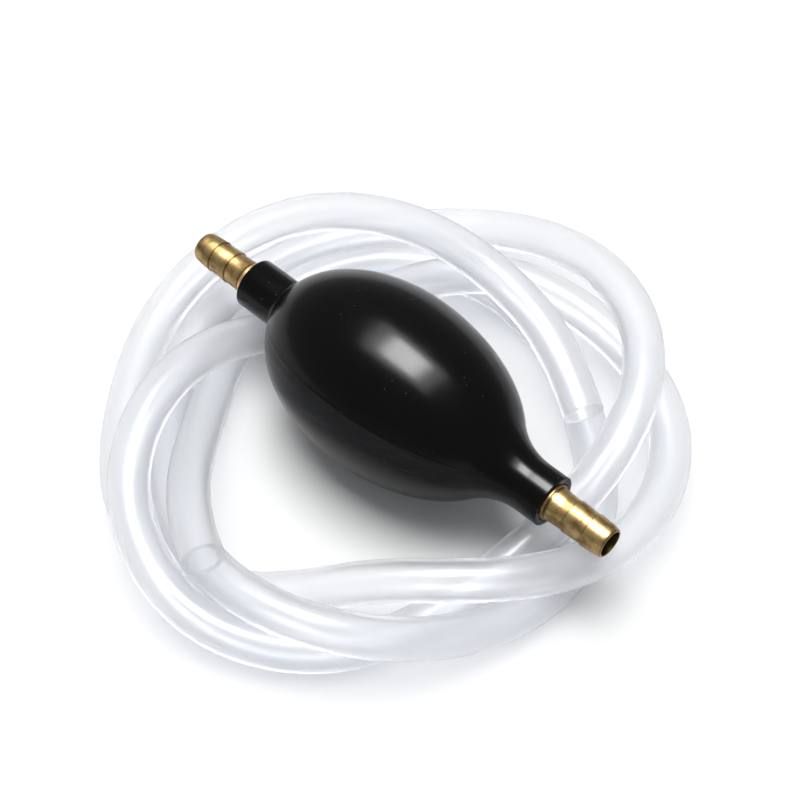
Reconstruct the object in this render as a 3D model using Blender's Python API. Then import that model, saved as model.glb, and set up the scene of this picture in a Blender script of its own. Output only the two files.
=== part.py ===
# Hand squeeze-bulb siphon pump with its coil of clear hose.
# The pump lies along X on the floor, flow towards +X, +Z up, sizes in metres.
import math

import bmesh
import bpy
import numpy as np

MM = 0.001

# Clearance between pieces that touch on the real pump.
FIT_GAP = 0.3 * MM

# Squeeze bulb: one rubber egg with a neck at each end.
BULB_RADIUS = 25.0 * MM
BULB_BLUNT_REACH = 37.5 * MM
BULB_TAPER_REACH = 42.5 * MM
BULB_WALL = 2.8 * MM
NECK_WALL = 2.7 * MM
INLET_NECK = 13.05 * MM
OUTLET_NECK = 15.75 * MM
INLET_FILLET = 2.5 * MM
OUTLET_FILLET = 19.0 * MM
MOUTH_ROUND = 0.6 * MM

# Brass hose tails: barbs outside, a smooth spigot with one bead in the neck.
TAIL_BORE = 7.0 * MM
TAIL_WALL = 0.6 * MM
TIP_LENGTH = 2.6 * MM
TIP_DROP = 0.6 * MM
BARB_COUNT = 3
BARB_PITCH = 5.95 * MM
BARB_ROOT = 0.3 * MM
BARB_RISE = 0.3 * MM
COLLAR_RISE = 1.0 * MM
COLLAR_LENGTH = 3.2 * MM
INLET_PROUD = 2.0 * MM
OUTLET_PROUD = 0.3 * MM
BEAD_SETBACK = 5.6 * MM
BEAD_RISE = 0.5 * MM
BEAD_LENGTH = 2.4 * MM
STOP_SETOUT = 0.1 * MM
STOP_WIDTH = 1.0 * MM
STOP_OVERLAP = 0.5 * MM

# Ball check valve, one in each tail: cartridge, seat, ball, spring, retainer.
CARTRIDGE_WALL = 0.6 * MM
FLANGE_THICK = 0.8 * MM
FLANGE_SETBACK = 0.2 * MM
SEAT_THICK = 0.8 * MM
SEAT_OVERLAP = 0.6 * MM
BALL_SIDE_GAP = 0.6 * MM
BALL_LIFT = 1.8 * MM
SPRING_WIRE = 0.35 * MM
SPRING_TURNS = 4
SPRING_INSET = 0.4 * MM
SPRING_SPARE = 0.4 * MM
RETAINER_THICK = 0.7 * MM
RETAINER_HOLE = 1.0 * MM
CRIMP_LENGTH = 0.5 * MM
CRIMP_LAP = 0.4 * MM

# Hose: loose loops round the pump, each station 30 degrees on from the last.
# Stations give the distance from the coil's centre and the height, in mm.
HOSE_OUTER = 11.0 * MM
HOSE_WALL = 1.5 * MM
COIL_CENTRE_X = -3.5 * MM
HOSE_FIRST_BEARING = -127.0
HOSE_STATION_STEP = 30.0
HOSE_POINT_STEP = 15.0
HOSE_POINTS = 89
HOSE_RADII = [98, 72.5, 50.5, 45.5, 51, 55, 59.5, 58, 51.5, 53.5, 65, 68,
              74.5, 70.5, 58, 57.5, 62.5, 67, 71, 76.5, 70.5, 66.5, 55.5, 53,
              70, 81, 73, 52.5, 41, 40.5, 46, 53.5, 65, 77.5, 75, 62,
              52, 66, 74, 68, 76, 75, 56, 44.5, 46, 49.5, 68]
HOSE_HEIGHTS = [26.5, 33, 20.5, 7.5, 3, 6.5, 5, 4, 5, 4, 4.5, 3.5,
                20.5, 20, 10, 4, 4.5, 4.5, 4.5, 12.5, 26, 28, 12.8, 3.5,
                4.5, 9, 19, 25, 12, 5, 7.5, 18.5, 13, 11, 12, 20,
                15, 3.5, 4.5, 4.5, 4, 16, 24, 27, 23, 18.5, 7]

# Facets round each turned piece.
BULB_SIDES = 36
TAIL_SIDES = 28
VALVE_SIDES = 24

# Sizes that follow from the ones above.
BORE_RADIUS = TAIL_BORE / 2
SPIGOT_RADIUS = BORE_RADIUS + TAIL_WALL
ROOT_RADIUS = SPIGOT_RADIUS + BARB_ROOT
CREST_RADIUS = ROOT_RADIUS + BARB_RISE
COLLAR_RADIUS = SPIGOT_RADIUS + COLLAR_RISE
BEAD_RADIUS = SPIGOT_RADIUS + BEAD_RISE
NECK_BORE = SPIGOT_RADIUS + FIT_GAP
NECK_RADIUS = NECK_BORE + NECK_WALL
TAIL_REACH = BARB_COUNT * BARB_PITCH

CARTRIDGE_RADIUS = BORE_RADIUS - FIT_GAP
CARTRIDGE_BORE = CARTRIDGE_RADIUS - CARTRIDGE_WALL
INSERT_RADIUS = CARTRIDGE_BORE - FIT_GAP
STOP_RADIUS = CARTRIDGE_RADIUS - STOP_OVERLAP
BALL_RADIUS = CARTRIDGE_BORE - BALL_SIDE_GAP
SEAT_HOLE = BALL_RADIUS - SEAT_OVERLAP
SPRING_RADIUS = BALL_RADIUS - SPRING_INSET
SPRING_LENGTH = BALL_LIFT + SPRING_TURNS * SPRING_WIRE + SPRING_SPARE

# Places along a valve, from the face of its cartridge that the flow meets.
SEAT_START = FLANGE_THICK + FIT_GAP
SEAT_END = SEAT_START + SEAT_THICK
BALL_AT = SEAT_END + math.sqrt((BALL_RADIUS + FIT_GAP) ** 2 - SEAT_HOLE ** 2)
WIRE_TO_BALL = BALL_RADIUS + SPRING_WIRE / 2 + FIT_GAP
SPRING_START = BALL_AT + math.sqrt(WIRE_TO_BALL ** 2 - SPRING_RADIUS ** 2)
SPRING_END = SPRING_START + SPRING_LENGTH
RETAINER_START = SPRING_END + SPRING_WIRE / 2 + FIT_GAP
CRIMP_START = RETAINER_START + RETAINER_THICK + FIT_GAP
CARTRIDGE_LENGTH = CRIMP_START + CRIMP_LENGTH
SPIGOT_DEPTH = CARTRIDGE_LENGTH + 2 * FIT_GAP - STOP_SETOUT

# Places along the pump: the egg's middle, the neck mouths, the collars' faces.
EGG_SHARE = math.sqrt(1 - (NECK_RADIUS / BULB_RADIUS) ** 2)
INLET_SPAN = BULB_BLUNT_REACH * EGG_SHARE + INLET_NECK
OUTLET_SPAN = BULB_TAPER_REACH * EGG_SHARE + OUTLET_NECK
EGG_X = (INLET_SPAN + INLET_PROUD - OUTLET_SPAN - OUTLET_PROUD) / 2
INLET_MOUTH = EGG_X - INLET_SPAN
OUTLET_MOUTH = EGG_X + OUTLET_SPAN
INLET_COLLAR = INLET_MOUTH - INLET_PROUD
OUTLET_COLLAR = OUTLET_MOUTH + OUTLET_PROUD
AXIS_HEIGHT = BULB_RADIUS


def clear_scene():
    for old in list(bpy.data.objects):
        bpy.data.objects.remove(old, do_unlink=True)


def make_material(name, colour, roughness, metallic=0.0, alpha=1.0):
    material = bpy.data.materials.new(name)
    material.use_nodes = True
    shader = material.node_tree.nodes["Principled BSDF"]
    shader.inputs["Base Color"].default_value = (*colour, 1.0)
    shader.inputs["Roughness"].default_value = roughness
    shader.inputs["Metallic"].default_value = metallic
    shader.inputs["Alpha"].default_value = alpha
    return material


def add_object(name, mesh, material, parent=None, location=(0, 0, 0)):
    piece = bpy.data.objects.new(name, mesh)
    bpy.context.collection.objects.link(piece)
    mesh.materials.clear()
    mesh.materials.append(material)
    piece.parent = parent
    piece.location = location
    return piece


def smooth(mesh, angle=35):
    mesh.shade_smooth()
    mesh.set_sharp_from_angle(angle=math.radians(angle))


def turned_mesh(name, profile, sides):
    # Spins a closed outline of (x, radius) points once round the X axis.
    shape = bmesh.new()
    points = [shape.verts.new((x, 0, -radius)) for x, radius in profile]
    edges = [shape.edges.new((points[i - 1], points[i])) for i in range(len(points))]
    bmesh.ops.spin(shape, geom=points + edges, cent=(0, 0, 0), axis=(1, 0, 0),
                   dvec=(0, 0, 0), angle=2 * math.pi, steps=sides, use_merge=True)
    bmesh.ops.remove_doubles(shape, verts=shape.verts, dist=0.000001)
    bmesh.ops.recalc_face_normals(shape, faces=shape.faces)
    mesh = bpy.data.meshes.new(name)
    shape.to_mesh(mesh)
    shape.free()
    smooth(mesh)
    return mesh


def egg_arc(reach, radius, start, end, count):
    # Points of an ellipse round the egg's middle, angles from its long axis.
    arc = []
    for i in range(count + 1):
        turn = start + (end - start) * i / count
        arc.append((EGG_X + reach * math.cos(turn), radius * math.sin(turn)))
    return arc


def fillet_turn(reach, fillet):
    # Angle from the long axis where a neck's fillet leaves the egg.
    low, high = 0.0, math.pi / 2
    for _ in range(60):
        turn = (low + high) / 2
        across = math.hypot(BULB_RADIUS * math.cos(turn), reach * math.sin(turn))
        lift = math.sin(turn) * (BULB_RADIUS + fillet * reach / across)
        if lift < NECK_RADIUS + fillet:
            low = turn
        else:
            high = turn
    return turn


def fillet_arc(reach, fillet, way, count):
    # Points from the egg down to the side of the neck.
    turn = fillet_turn(reach, fillet)
    across = math.hypot(BULB_RADIUS * math.cos(turn), reach * math.sin(turn))
    lean = math.asin(BULB_RADIUS * math.cos(turn) / across)
    centre = math.cos(turn) * (reach + fillet * BULB_RADIUS / across)
    arc = []
    for i in range(1, count + 1):
        left = lean * (1 - i / count)
        arc.append((EGG_X + way * (centre - fillet * math.sin(left)),
                    NECK_RADIUS + fillet * (1 - math.cos(left))))
    return arc


def mouth_outer(mouth, way):
    # Rounded outer rim of a neck, from the recess out to the neck's side.
    rim = [(mouth, COLLAR_RADIUS + FIT_GAP)]
    for i in range(3):
        turn = math.pi / 4 * i
        rim.append((mouth - way * MOUTH_ROUND * (1 - math.sin(turn)),
                    NECK_RADIUS - MOUTH_ROUND * (1 - math.cos(turn))))
    rim[1:] = [rim[3], rim[2], rim[1]]
    return rim


def mouth_inner(mouth, way, proud):
    # Recess for the tail's collar, then the groove for its bead.
    recess = mouth - way * (COLLAR_LENGTH - proud + FIT_GAP)
    groove = mouth - way * (BEAD_SETBACK - proud - FIT_GAP)
    groove_end = mouth - way * (BEAD_SETBACK + BEAD_LENGTH - proud + FIT_GAP)
    return [(recess, COLLAR_RADIUS + FIT_GAP),
            (recess, NECK_BORE),
            (groove, NECK_BORE),
            (groove, BEAD_RADIUS + FIT_GAP),
            (groove_end, NECK_BORE)]


def bulb_profile():
    inner_radius = BULB_RADIUS - BULB_WALL
    blunt_inner = BULB_BLUNT_REACH - BULB_WALL
    taper_inner = BULB_TAPER_REACH - BULB_WALL
    blunt_turn = math.pi - fillet_turn(BULB_BLUNT_REACH, INLET_FILLET)
    taper_turn = fillet_turn(BULB_TAPER_REACH, OUTLET_FILLET)
    port = math.asin(NECK_BORE / inner_radius)
    half = math.pi / 2
    outside = mouth_outer(INLET_MOUTH, -1)
    outside += reversed(fillet_arc(BULB_BLUNT_REACH, INLET_FILLET, -1, 4))
    outside += egg_arc(BULB_BLUNT_REACH, BULB_RADIUS, blunt_turn, half, 8)
    outside += egg_arc(BULB_TAPER_REACH, BULB_RADIUS, half, taper_turn, 8)[1:]
    outside += fillet_arc(BULB_TAPER_REACH, OUTLET_FILLET, 1, 5)
    outside += reversed(mouth_outer(OUTLET_MOUTH, 1))
    inside = mouth_inner(OUTLET_MOUTH, 1, OUTLET_PROUD)
    inside += egg_arc(taper_inner, inner_radius, port, half, 6)
    inside += egg_arc(blunt_inner, inner_radius, half, math.pi - port, 6)[1:]
    inside += reversed(mouth_inner(INLET_MOUTH, -1, INLET_PROUD))
    return outside + inside


def tail_profile(collar, way):
    # Distances run outward from the collar's outer face.
    outline = [(TAIL_REACH, BORE_RADIUS)]
    for i in range(4):
        turn = math.pi / 6 * i
        outline.append((TAIL_REACH - TIP_LENGTH * (1 - math.cos(turn)),
                        ROOT_RADIUS - TIP_DROP * (1 - math.sin(turn))))
    for barb in range(1, BARB_COUNT + 1):
        crest = TAIL_REACH - barb * BARB_PITCH
        outline.append((crest, CREST_RADIUS))
        if barb < BARB_COUNT:
            outline.append((crest, ROOT_RADIUS))
    outline += [(0, COLLAR_RADIUS),
                (-COLLAR_LENGTH, COLLAR_RADIUS),
                (-COLLAR_LENGTH, SPIGOT_RADIUS),
                (-BEAD_SETBACK, SPIGOT_RADIUS),
                (-BEAD_SETBACK, BEAD_RADIUS),
                (-BEAD_SETBACK - BEAD_LENGTH, SPIGOT_RADIUS),
                (-SPIGOT_DEPTH, SPIGOT_RADIUS),
                (-SPIGOT_DEPTH, BORE_RADIUS),
                (STOP_SETOUT, BORE_RADIUS),
                (STOP_SETOUT, STOP_RADIUS),
                (STOP_SETOUT + STOP_WIDTH, STOP_RADIUS),
                (STOP_SETOUT + STOP_WIDTH, BORE_RADIUS)]
    return [(collar + way * out, radius) for out, radius in outline]


def cartridge_profile():
    hole = SEAT_HOLE + FLANGE_SETBACK
    return [(0, hole),
            (0, CARTRIDGE_RADIUS),
            (CARTRIDGE_LENGTH, CARTRIDGE_RADIUS),
            (CARTRIDGE_LENGTH, CARTRIDGE_BORE - CRIMP_LAP),
            (CRIMP_START, CARTRIDGE_BORE - CRIMP_LAP),
            (CRIMP_START, CARTRIDGE_BORE),
            (FLANGE_THICK, CARTRIDGE_BORE),
            (FLANGE_THICK, hole)]


def ring_profile(start, thick, hole):
    return [(start, hole),
            (start, INSERT_RADIUS),
            (start + thick, INSERT_RADIUS),
            (start + thick, hole)]


def tube_mesh(name, points, radius, wall=0.0):
    # A six-sided tube swept along the points, solid or with a bore.
    path = bpy.data.curves.new(name + "_path", "CURVE")
    path.dimensions = "3D"
    path.twist_mode = "Z_UP"
    path.bevel_depth = radius
    path.bevel_resolution = 1
    path.use_fill_caps = wall == 0.0
    spline = path.splines.new("POLY")
    spline.points.add(len(points) - 1)
    for spot, place in zip(spline.points, points):
        spot.co = (*place, 1.0)
    guide = bpy.data.objects.new(name + "_path", path)
    bpy.context.collection.objects.link(guide)
    if wall:
        bore = guide.modifiers.new("bore", "SOLIDIFY")
        bore.thickness = wall
        bore.offset = -1.0
        bore.use_rim = True
    ready = guide.evaluated_get(bpy.context.evaluated_depsgraph_get())
    mesh = bpy.data.meshes.new_from_object(ready)
    mesh.name = name
    bpy.data.objects.remove(guide, do_unlink=True)
    shape = bmesh.new()
    shape.from_mesh(mesh)
    bmesh.ops.remove_doubles(shape, verts=shape.verts, dist=0.000001)
    bmesh.ops.recalc_face_normals(shape, faces=shape.faces)
    shape.to_mesh(mesh)
    shape.free()
    return mesh


def spring_points():
    points = []
    steps = 10 * SPRING_TURNS
    for i in range(steps + 1):
        turn = 2 * math.pi * i / 10
        along = SPRING_START + SPRING_LENGTH * i / steps
        points.append((along, SPRING_RADIUS * math.cos(turn), SPRING_RADIUS * math.sin(turn)))
    return points


def station_value(stations, bearing):
    # Smooth curve through the coil's stations: a uniform cubic B-spline.
    place = (bearing - HOSE_FIRST_BEARING) / HOSE_STATION_STEP
    i = min(max(int(place), 1), len(stations) - 3)
    t = place - i
    weights = ((1 - t) ** 3,
               3 * t ** 3 - 6 * t ** 2 + 4,
               -3 * t ** 3 + 3 * t ** 2 + 3 * t + 1,
               t ** 3)
    return MM / 6 * sum(w * stations[i - 1 + k] for k, w in enumerate(weights))


def hose_point(bearing):
    radius = station_value(HOSE_RADII, bearing)
    turn = math.radians(bearing)
    return (COIL_CENTRE_X - radius * math.cos(turn),
            radius * math.sin(turn),
            station_value(HOSE_HEIGHTS, bearing))


def hose_route(step):
    first = HOSE_FIRST_BEARING + HOSE_STATION_STEP
    count = round((HOSE_POINTS - 1) * HOSE_POINT_STEP / step)
    return [hose_point(first + step * i) for i in range(count + 1)]


def print_hose_gap():
    # Least gap between turns, measured on points 1 degree apart.
    line = np.array(hose_route(1.0))
    steps = np.linalg.norm(np.diff(line, axis=0), axis=1)
    along = np.concatenate(([0.0], np.cumsum(steps)))
    apart = np.linalg.norm(line[:, None] - line[None], axis=2)
    apart[np.abs(along[:, None] - along[None]) < 4 * HOSE_OUTER] = 1.0
    gap = (apart.min() - HOSE_OUTER) / MM
    print("hose length %.1f mm, least gap to itself %.2f mm" % (along[-1] / MM, gap))


def build_hose(material):
    mesh = tube_mesh("hose", hose_route(HOSE_POINT_STEP), HOSE_OUTER / 2, HOSE_WALL)
    # The bottom loops are pressed flat on the floor.
    for vertex in mesh.vertices:
        vertex.co.z = max(vertex.co.z, 0.0)
    smooth(mesh, 65)
    print_hose_gap()
    return add_object("hose", mesh, material)


def build_valve(end, face, pump, looks):
    # One check valve, its cartridge starting at this place along the pump.
    place = (face, 0, 0)
    cartridge = turned_mesh(end + "_valve_body", cartridge_profile(), VALVE_SIDES)
    add_object(end + "_valve_body", cartridge, looks["brass"], pump, place)
    seat = turned_mesh(end + "_seat_ring", ring_profile(SEAT_START, SEAT_THICK, SEAT_HOLE),
                       VALVE_SIDES)
    add_object(end + "_seat_ring", seat, looks["rubber"], pump, place)
    retainer = turned_mesh(end + "_spring_retainer",
                           ring_profile(RETAINER_START, RETAINER_THICK, RETAINER_HOLE),
                           VALVE_SIDES)
    add_object(end + "_spring_retainer", retainer, looks["brass"], pump, place)
    spring = tube_mesh(end + "_valve_spring", spring_points(), SPRING_WIRE / 2)
    smooth(spring, 65)
    add_object(end + "_valve_spring", spring, looks["steel"], pump, place)
    ball = bmesh.new()
    bmesh.ops.create_icosphere(ball, subdivisions=3, radius=BALL_RADIUS)
    ball_mesh = bpy.data.meshes.new(end + "_valve_ball")
    ball.to_mesh(ball_mesh)
    ball.free()
    smooth(ball_mesh)
    add_object(end + "_valve_ball", ball_mesh, looks["steel"], pump, (face + BALL_AT, 0, 0))


def build_pump(looks):
    pump = bpy.data.objects.new("pump_axis", None)
    bpy.context.collection.objects.link(pump)
    pump.location = (0, 0, AXIS_HEIGHT)
    bulb = turned_mesh("squeeze_bulb", bulb_profile(), BULB_SIDES)
    add_object("squeeze_bulb", bulb, looks["rubber"], pump)
    ends = (("inlet", INLET_COLLAR, -1), ("outlet", OUTLET_COLLAR, 1))
    for end, collar, way in ends:
        tail = turned_mesh(end + "_hose_tail", tail_profile(collar, way), TAIL_SIDES)
        add_object(end + "_hose_tail", tail, looks["brass"], pump)
    # Both cartridges bear on the stop in their tail and open towards +X.
    inlet_face = INLET_COLLAR - STOP_SETOUT + FIT_GAP
    outlet_face = OUTLET_COLLAR + STOP_SETOUT - FIT_GAP - CARTRIDGE_LENGTH
    build_valve("inlet", inlet_face, pump, looks)
    build_valve("outlet", outlet_face, pump, looks)


def build():
    clear_scene()
    looks = {
        "rubber": make_material("black_rubber", (0.013, 0.013, 0.014), 0.42),
        "brass": make_material("brass", (0.72, 0.52, 0.24), 0.3, 1.0),
        "steel": make_material("steel", (0.6, 0.6, 0.6), 0.25, 1.0),
        "hose": make_material("clear_hose", (0.82, 0.85, 0.88), 0.2, 0.0, 0.45),
    }
    build_pump(looks)
    build_hose(looks["hose"])


build()
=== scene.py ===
import math

import bpy
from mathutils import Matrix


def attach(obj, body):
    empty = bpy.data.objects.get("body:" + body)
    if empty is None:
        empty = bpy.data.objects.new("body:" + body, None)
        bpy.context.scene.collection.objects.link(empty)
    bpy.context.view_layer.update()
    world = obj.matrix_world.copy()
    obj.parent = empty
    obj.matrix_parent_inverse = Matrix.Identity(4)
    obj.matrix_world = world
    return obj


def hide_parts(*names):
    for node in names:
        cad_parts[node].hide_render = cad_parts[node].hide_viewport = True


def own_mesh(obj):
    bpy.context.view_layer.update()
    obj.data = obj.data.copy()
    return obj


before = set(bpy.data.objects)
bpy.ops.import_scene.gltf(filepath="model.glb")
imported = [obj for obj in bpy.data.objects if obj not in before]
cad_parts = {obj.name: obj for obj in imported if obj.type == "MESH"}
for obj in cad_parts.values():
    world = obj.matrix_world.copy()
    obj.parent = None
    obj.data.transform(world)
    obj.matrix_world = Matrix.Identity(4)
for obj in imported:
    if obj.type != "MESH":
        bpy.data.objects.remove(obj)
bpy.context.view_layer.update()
print("frame loaded with", len(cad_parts), "nodes")

mm = 0.001
pumpAxis = (0, 0, 25 * mm)  # the bulb lies on the floor


# small helpers for working as by hand

def letGo():
    if bpy.context.object and bpy.context.object.mode != "OBJECT":
        bpy.ops.object.mode_set(mode="OBJECT")
    bpy.ops.object.select_all(action="DESELECT")


def takeUp(piece):
    letGo()
    piece.select_set(True)
    bpy.context.view_layer.objects.active = piece


def editAll(piece):
    takeUp(piece)
    bpy.ops.object.mode_set(mode="EDIT")
    bpy.ops.mesh.select_mode(type="VERT")
    bpy.ops.mesh.select_all(action="SELECT")


def editOnly(piece, mode, chosen):
    # opens a piece for editing with only these vertices or edges selected
    takeUp(piece)
    bpy.ops.object.mode_set(mode="EDIT")
    bpy.ops.mesh.select_mode(type=mode)
    bpy.ops.mesh.select_all(action="DESELECT")
    bpy.ops.object.mode_set(mode="OBJECT")
    parts = piece.data.vertices if mode == "VERT" else piece.data.edges
    for i in chosen:
        parts[i].select = True
    bpy.ops.object.mode_set(mode="EDIT")


def closeSkin(smoothAngle):
    # merges the seam of the piece being edited and turns its faces outward
    bpy.ops.mesh.select_all(action="SELECT")
    bpy.ops.mesh.remove_doubles(threshold=0.001 * mm)
    bpy.ops.mesh.normals_make_consistent(inside=False)
    bpy.ops.object.mode_set(mode="OBJECT")
    bpy.ops.object.shade_smooth_by_angle(angle=math.radians(smoothAngle))


def drawOutline(name, outline):
    # walks one vertex round (x, radius) points below the pump's axis
    letGo()
    bpy.ops.mesh.primitive_plane_add(size=mm)
    piece = bpy.context.object
    piece.name = piece.data.name = name
    bpy.ops.object.mode_set(mode="EDIT")
    bpy.ops.mesh.select_mode(type="VERT")
    bpy.ops.mesh.merge(type="CENTER")
    x, radius = outline[0]
    bpy.ops.transform.translate(value=(x, 0, pumpAxis[2] - radius))
    for here, there in zip(outline, outline[1:] + outline[:1]):
        step = (there[0] - here[0], 0, here[1] - there[1])
        bpy.ops.mesh.extrude_vertices_move(TRANSFORM_OT_translate={"value": step})
    bpy.ops.mesh.select_all(action="SELECT")
    bpy.ops.mesh.remove_doubles(threshold=0.001 * mm)
    bpy.ops.object.mode_set(mode="OBJECT")
    return piece


def roundCorners(piece, sharpAngle, width, segments):
    # bevels the corners of a drawn outline that turn by more than sharpAngle
    mesh = piece.data
    ends = {v.index: [] for v in mesh.vertices}
    for edge in mesh.edges:
        a, b = edge.vertices
        ends[a].append(b)
        ends[b].append(a)
    corners = []
    for i, (a, b) in ends.items():
        one = (mesh.vertices[a].co - mesh.vertices[i].co).normalized()
        two = (mesh.vertices[b].co - mesh.vertices[i].co).normalized()
        if math.degrees(math.pi - one.angle(two)) > sharpAngle:
            corners.append(i)
    editOnly(piece, "VERT", corners)
    bpy.ops.mesh.bevel(offset=width, segments=segments, affect="VERTICES", clamp_overlap=True)
    bpy.ops.object.mode_set(mode="OBJECT")


def spinOutline(piece, sides, smoothAngle, startTurn=0):
    editAll(piece)
    if startTurn:
        bpy.ops.transform.rotate(value=startTurn, orient_axis="X", center_override=pumpAxis)
    bpy.ops.mesh.spin(steps=sides, angle=2 * math.pi, center=pumpAxis, axis=(1, 0, 0))
    closeSkin(smoothAngle)


def dress(piece, material, body, node):
    piece.data.materials.clear()
    piece.data.materials.append(material)
    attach(piece, body)
    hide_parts(node)


# node helpers for the finishes

def newMaterial(name):
    material = bpy.data.materials.new(name)
    material.use_nodes = True
    return material, material.node_tree, material.node_tree.nodes["Principled BSDF"]


def objectPlace(tree):
    return tree.nodes.new("ShaderNodeTexCoord").outputs["Object"]


def noiseOn(tree, place, scale, detail=3, rough=0.55):
    noise = tree.nodes.new("ShaderNodeTexNoise")
    noise.inputs["Scale"].default_value = scale
    noise.inputs["Detail"].default_value = detail
    noise.inputs["Roughness"].default_value = rough
    tree.links.new(place, noise.inputs["Vector"])
    return noise.outputs["Fac"]


def spread(tree, value, fromLow, fromHigh, toLow, toHigh):
    ranger = tree.nodes.new("ShaderNodeMapRange")
    for socket, number in zip(ranger.inputs[1:5], (fromLow, fromHigh, toLow, toHigh)):
        socket.default_value = number
    tree.links.new(value, ranger.inputs["Value"])
    return ranger.outputs["Result"]


def noiseSpread(tree, noise, toLow, toHigh):
    # most of a noise lies between these two values
    return spread(tree, noise, 0.3, 0.7, toLow, toHigh)


def sumOf(tree, kind, one, two):
    node = tree.nodes.new("ShaderNodeMath")
    node.operation = kind
    for socket, value in zip(node.inputs, (one, two)):
        if isinstance(value, (int, float)):
            socket.default_value = value
        else:
            tree.links.new(value, socket)
    return node.outputs["Value"]


def twoTone(tree, share, low, high):
    ramp = tree.nodes.new("ShaderNodeMix")
    ramp.data_type = "RGBA"
    for socket, colour in zip((ramp.inputs[6], ramp.inputs[7]), (low, high)):
        if isinstance(colour, tuple):
            socket.default_value = (*colour, 1)
        else:
            tree.links.new(colour, socket)
    tree.links.new(share, ramp.inputs[0])
    return ramp.outputs[2]


def bumpFrom(tree, height, strength, depth):
    bump = tree.nodes.new("ShaderNodeBump")
    bump.inputs["Strength"].default_value = strength
    bump.inputs["Distance"].default_value = depth
    tree.links.new(height, bump.inputs["Height"])
    return bump.outputs["Normal"]


# camera at the photograph's view

viewPoint = {"eye": (0.2080, -0.22005, 0.40655), "target": (0.00414, -0.00255, 0.025), "angle": 24.0,
             "nearest": 0.01}


def placeCamera():
    letGo()
    bpy.ops.object.camera_add(location=viewPoint["eye"])
    camera = bpy.context.object
    away = [t - e for t, e in zip(viewPoint["target"], viewPoint["eye"])]
    tilt = math.pi / 2 + math.atan2(away[2], math.hypot(away[0], away[1]))
    camera.rotation_euler = (tilt, 0, math.atan2(-away[0], away[1]))
    camera.data.angle = math.radians(viewPoint["angle"])
    camera.data.clip_start = viewPoint["nearest"]
    bpy.context.scene.camera = camera


placeCamera()
print("camera placed")


# white paper under one soft overhead box, in a pale room

studio = {"floorSize": 6.0, "floorColour": (0.92, 0.92, 0.92), "grainShade": 0.97, "grainScale": 900,
          "grainBump": 0.05, "grainDepth": 0.05 * mm, "paperRoughness": 0.7,
          "farStart": 0.4, "farEnd": 2.2, "farGlow": 0.5,
          "boxPlace": (-0.17, 0.08, 1.4), "boxSize": (1.0, 1.0), "boxPower": 18.5,
          "frontNearer": 0.99, "frontSize": (0.5, 0.66), "frontPower": 45.0,
          "wallTint": (0.97, 0.985, 1.0), "wallTop": 0.04, "ceilingStart": 0.3,
          "wallLight": 0.4, "ceilingLight": 0.33, "throughLight": 1.0, "backLight": 0.85,
          "seeThroughLayers": 32}


def whitePaper():
    material, tree, shader = newMaterial("whitePaper")
    place = objectPlace(tree)
    grain = noiseOn(tree, place, studio["grainScale"], 4)
    low = tuple(studio["grainShade"] * c for c in studio["floorColour"])
    tree.links.new(twoTone(tree, grain, low, studio["floorColour"]), shader.inputs["Base Color"])
    fibre = bumpFrom(tree, grain, studio["grainBump"], studio["grainDepth"])
    tree.links.new(fibre, shader.inputs["Normal"])
    shader.inputs["Roughness"].default_value = studio["paperRoughness"]
    # the paper stays pale far from the lamp
    reach = tree.nodes.new("ShaderNodeVectorMath")
    reach.operation = "LENGTH"
    tree.links.new(place, reach.inputs[0])
    far = spread(tree, reach.outputs["Value"], studio["farStart"], studio["farEnd"], 0, studio["farGlow"])
    path = tree.nodes.new("ShaderNodeLightPath")
    seen = sumOf(tree, "MULTIPLY", far, path.outputs["Is Camera Ray"])
    tree.links.new(seen, shader.inputs["Emission Strength"])
    return material


def hangLamp(name, size, power, nearer):
    x, y, z = (nearer * c for c in studio["boxPlace"])
    letGo()
    bpy.ops.object.light_add(type="AREA", location=(x, y, z))
    lamp = bpy.context.object
    lamp.name = name
    lamp.data.shape = "RECTANGLE"
    lamp.data.size, lamp.data.size_y = size
    lamp.data.energy = power
    lamp.visible_transmission = False
    lamp.rotation_euler = (-math.atan2(y, z), math.atan2(x, math.hypot(y, z)), 0)
    return lamp


def setStudio():
    letGo()
    bpy.ops.mesh.primitive_plane_add(size=studio["floorSize"])
    floor = bpy.context.object
    floor.name = "floor"
    floor.data.materials.append(whitePaper())
    hangLamp("softBox", studio["boxSize"], studio["boxPower"], 1)
    front = hangLamp("boxFront", studio["frontSize"], studio["frontPower"], studio["frontNearer"])
    front.visible_diffuse = False  # the bright middle of the box, seen in gloss alone
    world = bpy.data.worlds.new("studio")
    world.use_nodes = True
    tree = world.node_tree
    sky = tree.nodes["Background"]
    sky.inputs["Color"].default_value = (*studio["wallTint"], 1)
    aim = tree.nodes.new("ShaderNodeTexCoord")
    split = tree.nodes.new("ShaderNodeSeparateXYZ")
    tree.links.new(aim.outputs["Generated"], split.inputs["Vector"])
    glow = spread(tree, split.outputs["Z"], studio["wallTop"], studio["ceilingStart"],
                  studio["wallLight"], studio["ceilingLight"])
    # the room is whiter through the hose, and behind the paper's edge
    path = tree.nodes.new("ShaderNodeLightPath")
    through = sumOf(tree, "MULTIPLY", path.outputs["Is Transmission Ray"], studio["throughLight"])
    backdrop = sumOf(tree, "MULTIPLY", path.outputs["Is Camera Ray"], studio["backLight"])
    brightest = sumOf(tree, "MAXIMUM", sumOf(tree, "MAXIMUM", glow, through), backdrop)
    tree.links.new(brightest, sky.inputs["Strength"])
    bpy.context.scene.world = world
    bpy.context.scene.view_settings.view_transform = "Standard"
    paths = bpy.context.scene.cycles
    paths.max_bounces = studio["seeThroughLayers"]
    paths.transmission_bounces = studio["seeThroughLayers"]
    paths.transparent_max_bounces = studio["seeThroughLayers"]


setStudio()
print("studio set")


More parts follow.
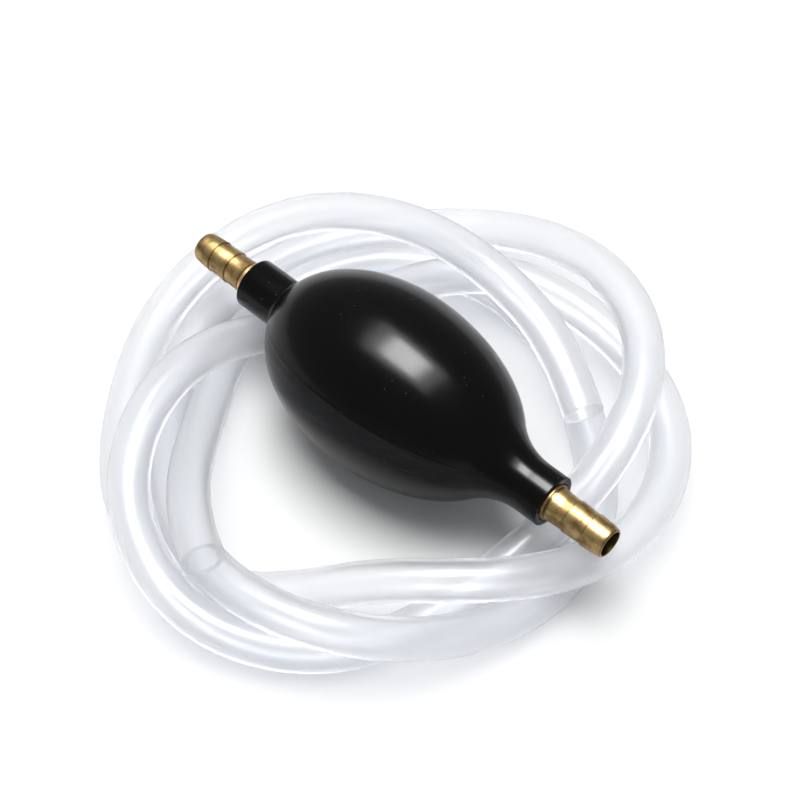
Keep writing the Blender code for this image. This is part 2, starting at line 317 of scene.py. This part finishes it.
# clear hose in loose loops, stations every 30 degrees: distance from the coil's middle and height, in mm

hoseCoil = {"outer": 11 * mm, "wall": 1.5 * mm, "middle": -3.5 * mm, "firstBearing": -127, "station": 30,
            "start": -97, "end": 1223, "step": 3, "round": 14, "smoothAngle": 50,
            "radii": [98, 72.5, 50.5, 45.5, 51, 55, 59.5, 58, 51.5, 53.5, 65, 68,
                      74.5, 70.5, 58, 57.5, 62.5, 67, 71, 76.5, 70.5, 66.5, 55.5, 53,
                      70, 81, 73, 52.5, 41, 40.5, 46, 53.5, 65, 77.5, 75, 62,
                      52, 66, 74, 68, 76, 75, 56, 44.5, 46, 49.5, 68],
            "heights": [26.5, 33, 20.5, 7.5, 3, 6.5, 5, 4, 5, 4, 4.5, 3.5,
                        20.5, 20, 10, 4, 4.5, 4.5, 4.5, 12.5, 26, 28, 12.8, 3.5,
                        4.5, 9, 19, 25, 12, 5, 7.5, 18.5, 13, 11, 12, 20,
                        15, 3.5, 4.5, 4.5, 4, 16, 24, 27, 23, 18.5, 7],
            "settleBelow": 1.2 * mm, "settleShare": 0.45, "settleLift": 0.12 * mm,
            "tones": ((0.96, 0.966, 0.98), (0.983, 0.986, 0.994)), "cloudScale": 60,
            "roughness": (0.33, 0.43), "wearScale": 240,
            "bump": 0.04, "bumpDepth": 0.1 * mm, "bumpScale": 500,
            "clear": 0.88, "bend": 1.2, "coat": 0.13, "coatRoughness": 0.12,
            "shadowTint": (0.91, 0.915, 0.925)}


def hoseValue(stations, bearing):
    place = (bearing - hoseCoil["firstBearing"]) / hoseCoil["station"]
    i = min(max(int(place), 1), len(stations) - 3)
    t = place - i
    shares = ((1 - t) ** 3, 3 * t ** 3 - 6 * t ** 2 + 4, -3 * t ** 3 + 3 * t ** 2 + 3 * t + 1, t ** 3)
    return mm / 6 * sum(s * stations[i - 1 + k] for k, s in enumerate(shares))


def hosePoint(bearing):
    radius = hoseValue(hoseCoil["radii"], bearing)
    turn = math.radians(bearing)
    return (hoseCoil["middle"] - radius * math.cos(turn), radius * math.sin(turn),
            hoseValue(hoseCoil["heights"], bearing))


def milkyHose():
    h = hoseCoil
    material, tree, shader = newMaterial("milkyHose")
    place = objectPlace(tree)
    cloud = noiseOn(tree, place, h["cloudScale"], 4)
    wear = noiseOn(tree, place, h["wearScale"])
    ripple = noiseOn(tree, place, h["bumpScale"], 2)
    tree.links.new(twoTone(tree, cloud, *h["tones"]), shader.inputs["Base Color"])
    tree.links.new(noiseSpread(tree, wear, *h["roughness"]), shader.inputs["Roughness"])
    tree.links.new(bumpFrom(tree, ripple, h["bump"], h["bumpDepth"]), shader.inputs["Normal"])
    shader.inputs["IOR"].default_value = h["bend"]
    shader.inputs["Transmission Weight"].default_value = h["clear"]
    shader.inputs["Coat Weight"].default_value = h["coat"]
    shader.inputs["Coat Roughness"].default_value = h["coatRoughness"]
    # light passes through the wall to the floor
    path = tree.nodes.new("ShaderNodeLightPath")
    through = tree.nodes.new("ShaderNodeBsdfTransparent")
    through.inputs["Color"].default_value = (*h["shadowTint"], 1)
    either = tree.nodes.new("ShaderNodeMixShader")
    soft = sumOf(tree, "MAXIMUM", path.outputs["Is Shadow Ray"], path.outputs["Is Diffuse Ray"])
    tree.links.new(soft, either.inputs[0])
    tree.links.new(shader.outputs["BSDF"], either.inputs[1])
    tree.links.new(through.outputs["BSDF"], either.inputs[2])
    tree.links.new(either.outputs["Shader"], tree.nodes["Material Output"].inputs["Surface"])
    return material


def makeHose():
    route = [hosePoint(b) for b in range(hoseCoil["start"], hoseCoil["end"] + 1, hoseCoil["step"])]
    line = bpy.data.curves.new("clearHose", "CURVE")
    line.dimensions = "3D"
    line.twist_mode = "Z_UP"
    line.bevel_depth = hoseCoil["outer"] / 2
    line.bevel_resolution = hoseCoil["round"]
    spline = line.splines.new("POLY")
    spline.points.add(len(route) - 1)
    for point, place in zip(spline.points, route):
        point.co = (*place, 1)
    hose = bpy.data.objects.new("clearHose", line)
    bpy.context.collection.objects.link(hose)
    takeUp(hose)
    bpy.ops.object.convert(target="MESH")
    bore = hose.modifiers.new("bore", "SOLIDIFY")
    bore.thickness = hoseCoil["wall"]
    bore.offset = -1
    bore.use_rim = True
    bpy.ops.object.modifier_apply(modifier="bore")
    for vertex in hose.data.vertices:  # settles on the floor under its own weight
        if vertex.co.z < hoseCoil["settleBelow"]:
            above = vertex.co.z + hoseCoil["settleBelow"]
            vertex.co.z = max(0, hoseCoil["settleShare"] * above + hoseCoil["settleLift"])
    editAll(hose)
    closeSkin(hoseCoil["smoothAngle"])
    dress(hose, milkyHose(), "coil", "hose")


makeHose()


# black rubber squeeze bulb: an egg with a neck at each end

bulb = {"middle": -2.897 * mm, "radius": 25 * mm, "bluntReach": 37.5 * mm, "taperReach": 42.5 * mm,
        "wall": 2.8 * mm, "bluntFillet": 2.5 * mm, "taperFillet": 19 * mm,
        "neckRadius": 7.1 * mm, "neckBore": 4.4 * mm, "inletMouth": -51.903 * mm, "outletMouth": 53.603 * mm,
        "recess": 5.4 * mm, "inletRecess": 1.5 * mm, "outletRecess": 3.2 * mm,
        "groove": 4.9 * mm, "inletGroove": (3.3 * mm, 6.3 * mm), "outletGroove": (5.0 * mm, 8.0 * mm),
        "bluntFilletSteps": 8, "taperFilletSteps": 16, "bluntSteps": 30, "taperSteps": 26, "insideSteps": 12,
        "mouthRound": 0.6 * mm, "roundOver": 50, "roundSteps": 5, "smoothAngle": 40, "sides": 120,
        "partTurn": math.radians(63), "partWidth": 0.28 * mm, "partRise": 0.06 * mm,
        "planeSlack": 0.01 * mm, "outwardShare": 0.25,
        "tones": ((0.002, 0.002, 0.0021), (0.0034, 0.0034, 0.0035)), "bloomScale": 45,
        "dustTone": (0.16, 0.155, 0.15), "dustScale": 400, "dustSize": (0.02, 0.08),
        "patchScale": 120, "patchEdge": (0.5, 0.58), "dustShare": 0.5,
        "roughness": (0.17, 0.21), "wearScale": 160, "gloss": 0.13,
        "bump": 0.05, "bumpDepth": 0.2 * mm, "bumpScale": 90}


def eggArc(reach, radius, start, end, count):
    turns = [start + (end - start) * i / count for i in range(count + 1)]
    return [(bulb["middle"] + reach * math.cos(t), radius * math.sin(t)) for t in turns]


def neckFillet(reach, fillet, way, count):
    # where the fillet leaves the egg, then its points down to the neck
    low, high = 0, math.pi / 2
    for halving in range(50):
        turn = (low + high) / 2
        across = math.hypot(bulb["radius"] * math.cos(turn), reach * math.sin(turn))
        lift = math.sin(turn) * (bulb["radius"] + fillet * reach / across)
        low, high = (turn, high) if lift < bulb["neckRadius"] + fillet else (low, turn)
    lean = math.asin(bulb["radius"] * math.cos(turn) / across)
    centre = math.cos(turn) * (reach + fillet * bulb["radius"] / across)
    points = []
    for i in range(1, count + 1):
        left = lean * (1 - i / count)
        points.append((bulb["middle"] + way * (centre - fillet * math.sin(left)),
                       bulb["neckRadius"] + fillet * (1 - math.cos(left))))
    return turn, points


def neckInside(mouth, way, recess, groove):
    return [(mouth - way * recess, bulb["recess"]), (mouth - way * recess, bulb["neckBore"]),
            (mouth - way * groove[0], bulb["neckBore"]), (mouth - way * groove[0], bulb["groove"]),
            (mouth - way * groove[1], bulb["neckBore"])]


def blackRubber():
    b = bulb
    material, tree, shader = newMaterial("blackRubber")
    place = objectPlace(tree)
    skin = twoTone(tree, noiseOn(tree, place, b["bloomScale"], 4), *b["tones"])
    # pale dust, in patches
    dust = tree.nodes.new("ShaderNodeTexVoronoi")
    dust.inputs["Scale"].default_value = b["dustScale"]
    tree.links.new(place, dust.inputs["Vector"])
    speck = spread(tree, dust.outputs["Distance"], *b["dustSize"], 1, 0)
    patch = spread(tree, noiseOn(tree, place, b["patchScale"], 1), *b["patchEdge"], 0, b["dustShare"])
    dusty = twoTone(tree, sumOf(tree, "MULTIPLY", speck, patch), skin, b["dustTone"])
    tree.links.new(dusty, shader.inputs["Base Color"])
    wear = noiseOn(tree, place, b["wearScale"], 5)
    tree.links.new(noiseSpread(tree, wear, *b["roughness"]), shader.inputs["Roughness"])
    shader.inputs["Specular IOR Level"].default_value = b["gloss"]
    swell = noiseOn(tree, place, b["bumpScale"], 2)
    tree.links.new(bumpFrom(tree, swell, b["bump"], b["bumpDepth"]), shader.inputs["Normal"])
    return material


def raisePartingLine(egg):
    # mould seam along two opposite meridians of the outer skin
    mesh = egg.data
    side = (-math.cos(bulb["partTurn"]), -math.sin(bulb["partTurn"]))

    def onPlane(v):
        return abs(v.co.y * side[0] + (v.co.z - pumpAxis[2]) * side[1]) < bulb["planeSlack"]

    def looksOut(place, normal):
        y, z = place.y, place.z - pumpAxis[2]
        return normal.y * y + normal.z * z > bulb["outwardShare"] * math.hypot(y, z)

    outer = set()
    for face in mesh.polygons:
        if looksOut(face.center, face.normal):
            outer.update(face.edge_keys)
    onSeam = {v.index for v in mesh.vertices if onPlane(v)}
    seam = [e.index for e in mesh.edges
            if e.key in outer and e.vertices[0] in onSeam and e.vertices[1] in onSeam]
    editOnly(egg, "EDGE", seam)
    bpy.ops.mesh.bevel(offset=bulb["partWidth"], segments=2, affect="EDGES")
    bpy.ops.object.mode_set(mode="OBJECT")
    crest = [v.index for v in mesh.vertices if onPlane(v) and looksOut(v.co, v.normal)]
    editOnly(egg, "VERT", crest)
    bpy.ops.transform.shrink_fatten(value=bulb["partRise"])
    bpy.ops.object.mode_set(mode="OBJECT")
    print("parting line raised on", len(seam), "edges")


def makeBulb(rubber):
    b = bulb
    bluntTurn, bluntNeck = neckFillet(b["bluntReach"], b["bluntFillet"], -1, b["bluntFilletSteps"])
    taperTurn, taperNeck = neckFillet(b["taperReach"], b["taperFillet"], 1, b["taperFilletSteps"])
    inner = b["radius"] - b["wall"]
    port = math.asin(b["neckBore"] / inner)
    half = math.pi / 2
    outline = [(b["inletMouth"], b["recess"]), (b["inletMouth"], b["neckRadius"])]
    outline += bluntNeck[::-1]
    outline += eggArc(b["bluntReach"], b["radius"], math.pi - bluntTurn, half, b["bluntSteps"])
    outline += eggArc(b["taperReach"], b["radius"], half, taperTurn, b["taperSteps"])[1:]
    outline += taperNeck
    outline += [(b["outletMouth"], b["neckRadius"]), (b["outletMouth"], b["recess"])]
    outline += neckInside(b["outletMouth"], 1, b["outletRecess"], b["outletGroove"])
    outline += eggArc(b["taperReach"] - b["wall"], inner, port, half, b["insideSteps"])
    outline += eggArc(b["bluntReach"] - b["wall"], inner, half, math.pi - port, b["insideSteps"])[1:]
    outline += neckInside(b["inletMouth"], -1, b["inletRecess"], b["inletGroove"])[::-1]
    egg = drawOutline("rubberBulb", outline)
    roundCorners(egg, b["roundOver"], b["mouthRound"], b["roundSteps"])
    spinOutline(egg, b["sides"], b["smoothAngle"], b["partTurn"])
    raisePartingLine(egg)
    dress(egg, rubber, "pump", "squeeze_bulb")
    print("bulb turned")


rubberFinish = blackRubber()
makeBulb(rubberFinish)


# turned brass hose tails, distances outward from the collar's face

hoseTail = {"face": 53.903 * mm, "reach": 17.85 * mm, "pitch": 5.95 * mm, "barbs": 3, "bore": 3.5 * mm,
            "root": 4.4 * mm, "crest": 4.7 * mm, "tipDrop": 0.6 * mm, "tipLength": 2.6 * mm, "tipSteps": 10,
            "collar": 5.1 * mm, "collarLength": 3.2 * mm, "spigot": 4.1 * mm, "depth": 11.69 * mm,
            "bead": 4.6 * mm, "beadStart": 5.6 * mm, "beadEnd": 8.0 * mm,
            "stop": 2.7 * mm, "stopStart": 0.1 * mm, "stopEnd": 1.1 * mm,
            "edgeRound": 0.07 * mm, "roundOver": 40, "roundSteps": 3, "smoothAngle": 35, "sides": 96,
            "tones": ((0.2, 0.125, 0.046), (0.47, 0.33, 0.145)), "stainScale": 300, "stainEdge": (0.38, 0.62),
            # the lighter rim tone is a painted highlight on the collar's rim
            "rimHighlightTone": (0.75, 0.5, 0.24), "rimHighlightEdge": (4.85 * mm, 4.95 * mm), "rimHighlightShare": 0.8,
            # painted shade at the barb roots and the collar's foot shares this dark tone with the bore's
            # tarnish
            "shadeAndTarnishTone": (0.08, 0.048, 0.02), "rootShadeEdge": (0.9, 0.99), "rootShadeShare": 0.75,
            "boreFade": 1.03, "boreShare": 0.85,
            # the dark line at the collar's foot is painted shade
            "footShadeAt": 0.35 * mm, "footShadeEdge": (0.25 * mm, 0.5 * mm), "footShadeShare": 0.85,
            "roughness": (0.4, 0.3), "ringScale": 9000, "ringBump": 0.6, "ringDepth": 0.02 * mm}


def turnedBrass():
    t = hoseTail
    material, tree, shader = newMaterial("turnedBrass")
    place = objectPlace(tree)
    split = tree.nodes.new("ShaderNodeSeparateXYZ")
    tree.links.new(place, split.inputs["Vector"])
    # distance along the pump's axis from its middle, and out from the axis
    along = sumOf(tree, "ABSOLUTE", split.outputs["X"], 0)
    off = sumOf(tree, "SUBTRACT", split.outputs["Z"], pumpAxis[2])
    across = sumOf(tree, "SQRT", sumOf(tree, "ADD", sumOf(tree, "MULTIPLY", off, off),
                                       sumOf(tree, "MULTIPLY", split.outputs["Y"], split.outputs["Y"])), 0)
    outside = sumOf(tree, "GREATER_THAN", along, t["face"] + t["stopEnd"])
    stain = noiseOn(tree, place, t["stainScale"], 4)
    metal = twoTone(tree, spread(tree, stain, *t["stainEdge"], 0, 1), *t["tones"])
    # painted highlight: the collar's rim is painted a lighter brass
    metal = twoTone(tree, spread(tree, across, *t["rimHighlightEdge"], 0, t["rimHighlightShare"]), metal, t["rimHighlightTone"])
    # painted shade: a dark line in the root behind each barb's step
    past = sumOf(tree, "SUBTRACT", along, t["face"])
    barb = sumOf(tree, "FRACT", sumOf(tree, "DIVIDE", past, t["pitch"]), 0)
    root = sumOf(tree, "MULTIPLY", spread(tree, barb, *t["rootShadeEdge"], 0, t["rootShadeShare"]), outside)
    # tarnish inside the bore
    inside = spread(tree, across, t["bore"], t["boreFade"] * t["bore"], t["boreShare"], 0)
    bore = sumOf(tree, "MULTIPLY", inside, outside)
    # painted shade: a dark line at the collar's foot, where it meets the barrel
    footDistance = sumOf(tree, "ABSOLUTE", sumOf(tree, "SUBTRACT", along, t["face"] + t["footShadeAt"]), 0)
    line = spread(tree, footDistance, *t["footShadeEdge"], t["footShadeShare"], 0)
    # one dark tone for the painted shade at the roots and the collar's foot, and for the tarnish in the bore
    shadeAndTarnish = sumOf(tree, "MAXIMUM", sumOf(tree, "MAXIMUM", root, line), bore)
    tree.links.new(twoTone(tree, shadeAndTarnish, metal, t["shadeAndTarnishTone"]), shader.inputs["Base Color"])
    tree.links.new(noiseSpread(tree, stain, *t["roughness"]), shader.inputs["Roughness"])
    # turning marks
    rings = tree.nodes.new("ShaderNodeTexNoise")
    rings.noise_dimensions = "1D"
    rings.inputs["Scale"].default_value = t["ringScale"]
    rings.inputs["Detail"].default_value = 2
    tree.links.new(along, rings.inputs["W"])
    marks = bumpFrom(tree, rings.outputs["Fac"], t["ringBump"], t["ringDepth"])
    tree.links.new(marks, shader.inputs["Normal"])
    shader.inputs["Metallic"].default_value = 1
    return material


def tailOutline():
    t = hoseTail
    outline = [(t["reach"], t["bore"])]
    for i in range(t["tipSteps"] + 1):
        turn = math.pi / 2 / t["tipSteps"] * i
        outline.append((t["reach"] - t["tipLength"] * (1 - math.cos(turn)),
                        t["root"] - t["tipDrop"] * (1 - math.sin(turn))))
    for barb in range(1, t["barbs"] + 1):
        crest = t["reach"] - barb * t["pitch"]
        outline.append((crest, t["crest"]))
        if barb < t["barbs"]:
            outline.append((crest, t["root"]))
    outline += [(0, t["collar"]), (-t["collarLength"], t["collar"]), (-t["collarLength"], t["spigot"]),
                (-t["beadStart"], t["spigot"]), (-t["beadStart"], t["bead"]), (-t["beadEnd"], t["spigot"]),
                (-t["depth"], t["spigot"]), (-t["depth"], t["bore"]), (t["stopStart"], t["bore"]),
                (t["stopStart"], t["stop"]), (t["stopEnd"], t["stop"]), (t["stopEnd"], t["bore"])]
    return outline


def makeTail(name, way, node, brass):
    outline = [(way * (hoseTail["face"] + out), radius) for out, radius in tailOutline()]
    tail = drawOutline(name, outline)
    roundCorners(tail, hoseTail["roundOver"], hoseTail["edgeRound"], hoseTail["roundSteps"])
    spinOutline(tail, hoseTail["sides"], hoseTail["smoothAngle"])
    dress(tail, brass, "pump", node)


brassFinish = turnedBrass()
makeTail("inletTail", -1, "inlet_hose_tail", brassFinish)
makeTail("outletTail", 1, "outlet_hose_tail", brassFinish)
print("hose tails turned")


# ball check valves, distances along the flow from each cartridge's face

checkValve = {"inletFace": -53.703 * mm, "outletFace": 42.515 * mm, "length": 11.188 * mm, "shell": 3.2 * mm,
              "bore": 2.6 * mm, "flange": 0.8 * mm, "flangeHole": 1.6 * mm,
              "crimpStart": 10.688 * mm, "crimpHole": 2.2 * mm, "insert": 2.3 * mm,
              "seatStart": 1.1 * mm, "seatEnd": 1.9 * mm, "seatHole": 1.4 * mm,
              "ball": 2.0 * mm, "ballAt": 3.725 * mm, "ballSteps": 24,
              "retainStart": 9.688 * mm, "retainEnd": 10.388 * mm, "retainHole": 1.0 * mm,
              "springStart": 5.613 * mm, "springEnd": 9.213 * mm, "springRadius": 1.6 * mm, "wire": 0.35 * mm,
              "turns": 4, "turnSteps": 32, "wireSides": 12, "springSmooth": 60, "squeezed": 0.5,
              "edgeRound": 0.1 * mm, "seatRound": 0.12 * mm, "roundOver": 40, "roundSteps": 3,
              "smoothAngle": 35, "sides": 64,
              "tones": ((0.52, 0.53, 0.55), (0.66, 0.66, 0.67)), "hazeScale": 900, "roughness": (0.14, 0.3)}


def brightSteel():
    v = checkValve
    material, tree, shader = newMaterial("brightSteel")
    haze = noiseOn(tree, objectPlace(tree), v["hazeScale"])
    tree.links.new(twoTone(tree, haze, *v["tones"]), shader.inputs["Base Color"])
    tree.links.new(noiseSpread(tree, haze, *v["roughness"]), shader.inputs["Roughness"])
    shader.inputs["Metallic"].default_value = 1
    return material


def turnAt(name, face, outline, edgeRound):
    piece = drawOutline(name, [(face + along, radius) for along, radius in outline])
    if edgeRound:
        roundCorners(piece, checkValve["roundOver"], edgeRound, checkValve["roundSteps"])
    spinOutline(piece, checkValve["sides"], checkValve["smoothAngle"])
    return piece


def ringOutline(start, end, hole, rim):
    return [(start, hole), (start, rim), (end, rim), (end, hole)]


def windSpring(name, face):
    # one wire section wound round the pump's axis
    v = checkValve
    letGo()
    bpy.ops.mesh.primitive_circle_add(vertices=v["wireSides"], radius=v["wire"] / 2,
                                      rotation=(math.pi / 2, 0, 0))
    spring = bpy.context.object
    spring.name = spring.data.name = name
    bpy.ops.object.transform_apply(location=True, rotation=True, scale=True)
    editAll(spring)
    bpy.ops.transform.translate(value=(face + v["springStart"], 0, v["springRadius"]))
    bpy.ops.object.mode_set(mode="OBJECT")
    coil = spring.modifiers.new("coil", "SCREW")
    coil.axis = "X"
    coil.steps = coil.render_steps = v["turnSteps"]
    coil.iterations = v["turns"]
    coil.screw_offset = (v["springEnd"] - v["springStart"]) / v["turns"]
    bpy.ops.object.modifier_apply(modifier="coil")
    editAll(spring)
    bpy.ops.transform.translate(value=pumpAxis)
    bpy.ops.mesh.select_all(action="DESELECT")
    bpy.ops.mesh.select_non_manifold()
    bpy.ops.mesh.fill_holes(sides=0)
    closeSkin(v["springSmooth"])
    return spring


def makeValve(end, face, brass, rubber, steel):
    v = checkValve
    shell = turnAt(end + "Cartridge", face, [
        (0, v["flangeHole"]), (0, v["shell"]), (v["length"], v["shell"]), (v["length"], v["crimpHole"]),
        (v["crimpStart"], v["crimpHole"]), (v["crimpStart"], v["bore"]), (v["flange"], v["bore"]),
        (v["flange"], v["flangeHole"])], v["edgeRound"])
    dress(shell, brass, "pump", end + "_valve_body")
    seatRing = ringOutline(v["seatStart"], v["seatEnd"], v["seatHole"], v["insert"])
    seat = turnAt(end + "Seat", face, seatRing, v["seatRound"])
    dress(seat, rubber, "pump", end + "_seat_ring")
    retainRing = ringOutline(v["retainStart"], v["retainEnd"], v["retainHole"], v["insert"])
    retainer = turnAt(end + "Retainer", face, retainRing, v["edgeRound"])
    dress(retainer, brass, "pump", end + "_spring_retainer")
    rim = [math.pi * i / v["ballSteps"] for i in range(1, v["ballSteps"])]
    ball = turnAt(end + "Ball", face + v["ballAt"],
                  [(v["ball"], 0)] + [(v["ball"] * math.cos(t), v["ball"] * math.sin(t)) for t in rim]
                  + [(-v["ball"], 0)], 0)
    dress(ball, steel, end + "_ball", end + "_valve_ball")
    spring = windSpring(end + "Spring", face)
    dress(spring, steel, "pump", end + "_valve_spring")
    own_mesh(spring)
    print(end, "valve fitted")


steelFinish = brightSteel()
makeValve("inlet", checkValve["inletFace"], brassFinish, rubberFinish, steelFinish)
makeValve("outlet", checkValve["outletFace"], brassFinish, rubberFinish, steelFinish)
